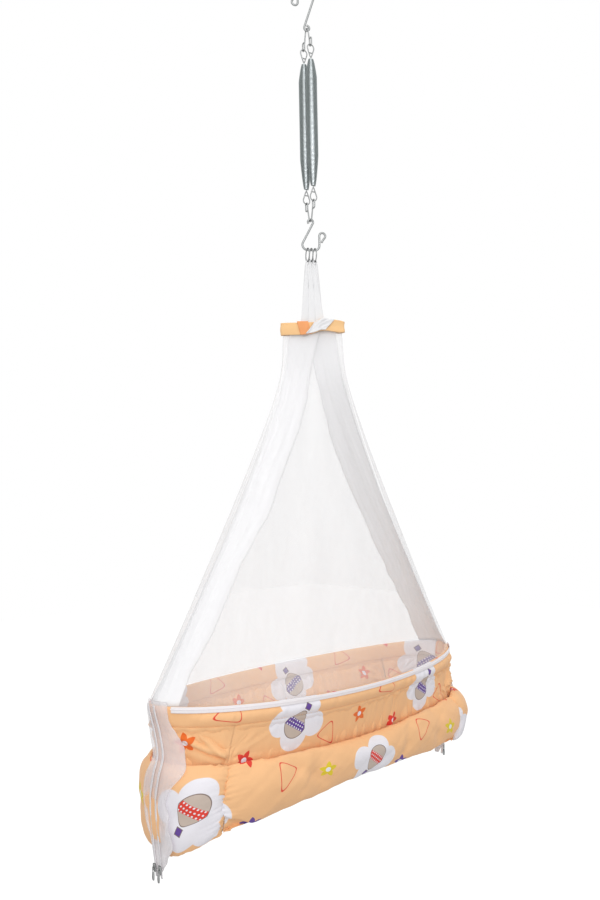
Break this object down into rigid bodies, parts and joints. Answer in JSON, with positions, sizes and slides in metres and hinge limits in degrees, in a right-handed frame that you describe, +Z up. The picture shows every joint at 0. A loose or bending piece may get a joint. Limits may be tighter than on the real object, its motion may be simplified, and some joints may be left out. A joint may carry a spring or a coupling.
{
  "type": "hanging baby cradle",
  "caption": "Padded cloth baby cradle under a sheer net, hung by an S hook, a pair of extension springs, a second S hook, rings and a narrow cloth collar.",
  "frame": {"origin": "seat inside the top of the upper S hook, on the underside of the bar that it hangs from", "axes": "+Z up, +X along the cradle towards the end with one zip pull, -Y towards the side with the long rim zip"},
  "size_m": [0.7592, 0.2613, 1.5607],
  "materials": {
    "steel": "bright zinc-plated wire",
    "spring_steel": "plated spring wire, grey with a green cast",
    "peach_cotton": "matte printed cotton over wadding",
    "binding": "matte plain cotton",
    "white_cotton": "matte plain cotton",
    "sheer_net": "sheer mosquito net",
    "foam": "foam pad in a cloth cover",
    "board": "raw hardboard",
    "zip_nylon": "white coil zip on tape"
  },
  "bodies": {
    "ceiling_hook": {"upper_s_hook": "steel"},
    "spring_pair": {"upper_v_link": "steel", "left_top_eye": "steel", "right_top_eye": "steel", "left_spring": "spring_steel", "right_spring": "spring_steel"},
    "lower_link": {"left_bottom_eye": "steel", "right_bottom_eye": "steel", "lower_v_link": "steel"},
    "hook": {"lower_s_hook": "steel"},
    "cradle": {"left_ring": "steel", "middle_ring": "steel", "right_ring": "steel", "left_neck_strap": "white_cotton", "middle_neck_strap": "white_cotton", "right_neck_strap": "white_cotton", "collar_band": "binding", "collar_patch": "white_cotton", "front_net": "sheer_net", "back_net": "sheer_net", "left_sling": "white_cotton", "right_sling": "white_cotton", "front_hem": "peach_cotton", "back_hem": "peach_cotton", "front_zip_tape": "zip_nylon", "front_wall": "peach_cotton", "back_wall": "peach_cotton", "left_end_wall": "peach_cotton", "right_end_wall": "peach_cotton", "front_bolster": "peach_cotton", "back_bolster": "peach_cotton", "left_end_bolster": "peach_cotton", "right_end_bolster": "peach_cotton", "base_cover": "peach_cotton", "base_board": "board", "mattress": "foam", "left_end_strip": "sheer_net", "right_end_strip": "sheer_net", "left_front_zip": "zip_nylon", "left_rear_zip": "zip_nylon", "right_front_zip": "zip_nylon"},
    "left_front_zip_slide": {"left_front_zip_slider": "steel"},
    "left_front_zip_tab": {"left_front_zip_pull": "steel"},
    "left_rear_zip_slide": {"left_rear_zip_slider": "steel"},
    "left_rear_zip_tab": {"left_rear_zip_pull": "steel"},
    "right_front_zip_slide": {"right_front_zip_slider": "steel"},
    "right_front_zip_tab": {"right_front_zip_pull": "steel"}
  },
  "joints": [
    {"name": "swing_side", "type": "hinge", "parent": "ceiling_hook", "child": "spring_pair", "pos_m": [0, 0, -0.08], "axis": [0.9781, -0.2079, 0], "range_deg": [-25, 25]},
    {"name": "spring_bounce", "type": "slide", "parent": "spring_pair", "child": "lower_link", "axis": [0, 0, -1], "range_m": [0, 0.12], "stiffness_N_per_m": 1200, "springref_m": -0.05, "deforming": ["left_spring", "right_spring"]},
    {"name": "swing_long", "type": "hinge", "parent": "lower_link", "child": "hook", "pos_m": [0, 0, -0.452], "axis": [0.2079, 0.9781, 0], "range_deg": [-25, 25]},
    {"name": "cradle_rock", "type": "hinge", "parent": "hook", "child": "cradle", "pos_m": [0, 0, -0.5074], "axis": [0.866, -0.5, 0], "range_deg": [-20, 20]},
    {"name": "left_front_zip_run", "type": "slide", "parent": "cradle", "child": "left_front_zip_slide", "axis": [-0.1034, 0, 0.9946], "range_m": [0, 0.075]},
    {"name": "left_front_pull_flip", "type": "hinge", "parent": "left_front_zip_slide", "child": "left_front_zip_tab", "pos_m": [-0.36661, -0.007, -1.53772], "axis": [0, 1, 0], "range_deg": [0, 110]},
    {"name": "left_rear_zip_run", "type": "slide", "parent": "cradle", "child": "left_rear_zip_slide", "axis": [-0.1034, 0, 0.9946], "range_m": [0, 0.075]},
    {"name": "left_rear_pull_flip", "type": "hinge", "parent": "left_rear_zip_slide", "child": "left_rear_zip_tab", "pos_m": [-0.36661, 0.007, -1.53772], "axis": [0, 1, 0], "range_deg": [0, 110]},
    {"name": "right_front_zip_run", "type": "slide", "parent": "cradle", "child": "right_front_zip_slide", "axis": [0.2616, 0, 0.9652], "range_m": [0, 0.055]},
    {"name": "right_front_pull_flip", "type": "hinge", "parent": "right_front_zip_slide", "child": "right_front_zip_tab", "pos_m": [0.36865, -0.007, -1.51311], "axis": [0, -1, 0], "range_deg": [0, 110]}
  ]
}
